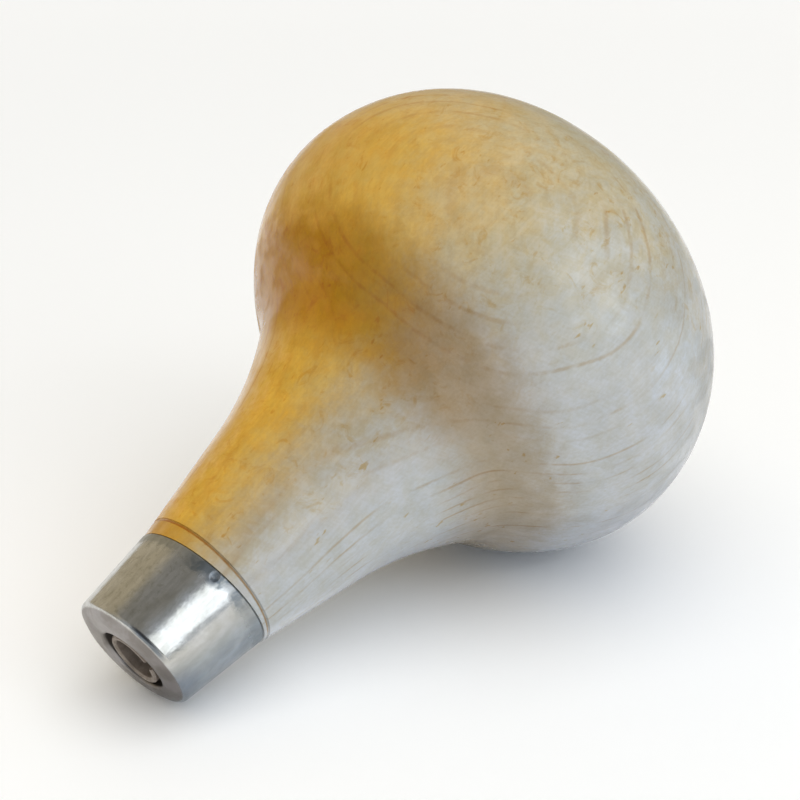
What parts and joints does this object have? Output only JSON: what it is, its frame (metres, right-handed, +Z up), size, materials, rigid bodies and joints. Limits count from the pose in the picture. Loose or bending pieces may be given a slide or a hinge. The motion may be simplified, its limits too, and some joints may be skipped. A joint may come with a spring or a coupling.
{
  "type": "lino cutter",
  "caption": "Palm-held lino cutter: a turned wooden bulb handle whose tapered steel ferrule takes a push-in nib. Shown without a nib.",
  "frame": {"origin": "on the bench, under the middle of the tool's bounding box as it lies", "axes": "+Z up from the bench; +X from the ferrule's nose towards the bulb, along the bench; the tool's axis lies in the XZ plane, rising 22.9 degrees towards the bulb"},
  "size_m": [0.061, 0.045, 0.0437],
  "materials": {
    "lacquered_wood": "clear lacquer, satin gloss",
    "ferrule_steel": "bright drawn, lightly worn",
    "spring_steel": "dull, oiled"
  },
  "bodies": {
    "root": {"handle": "lacquered_wood", "ferrule": "ferrule_steel", "spring_sleeve": "spring_steel"}
  },
  "joints": []
}
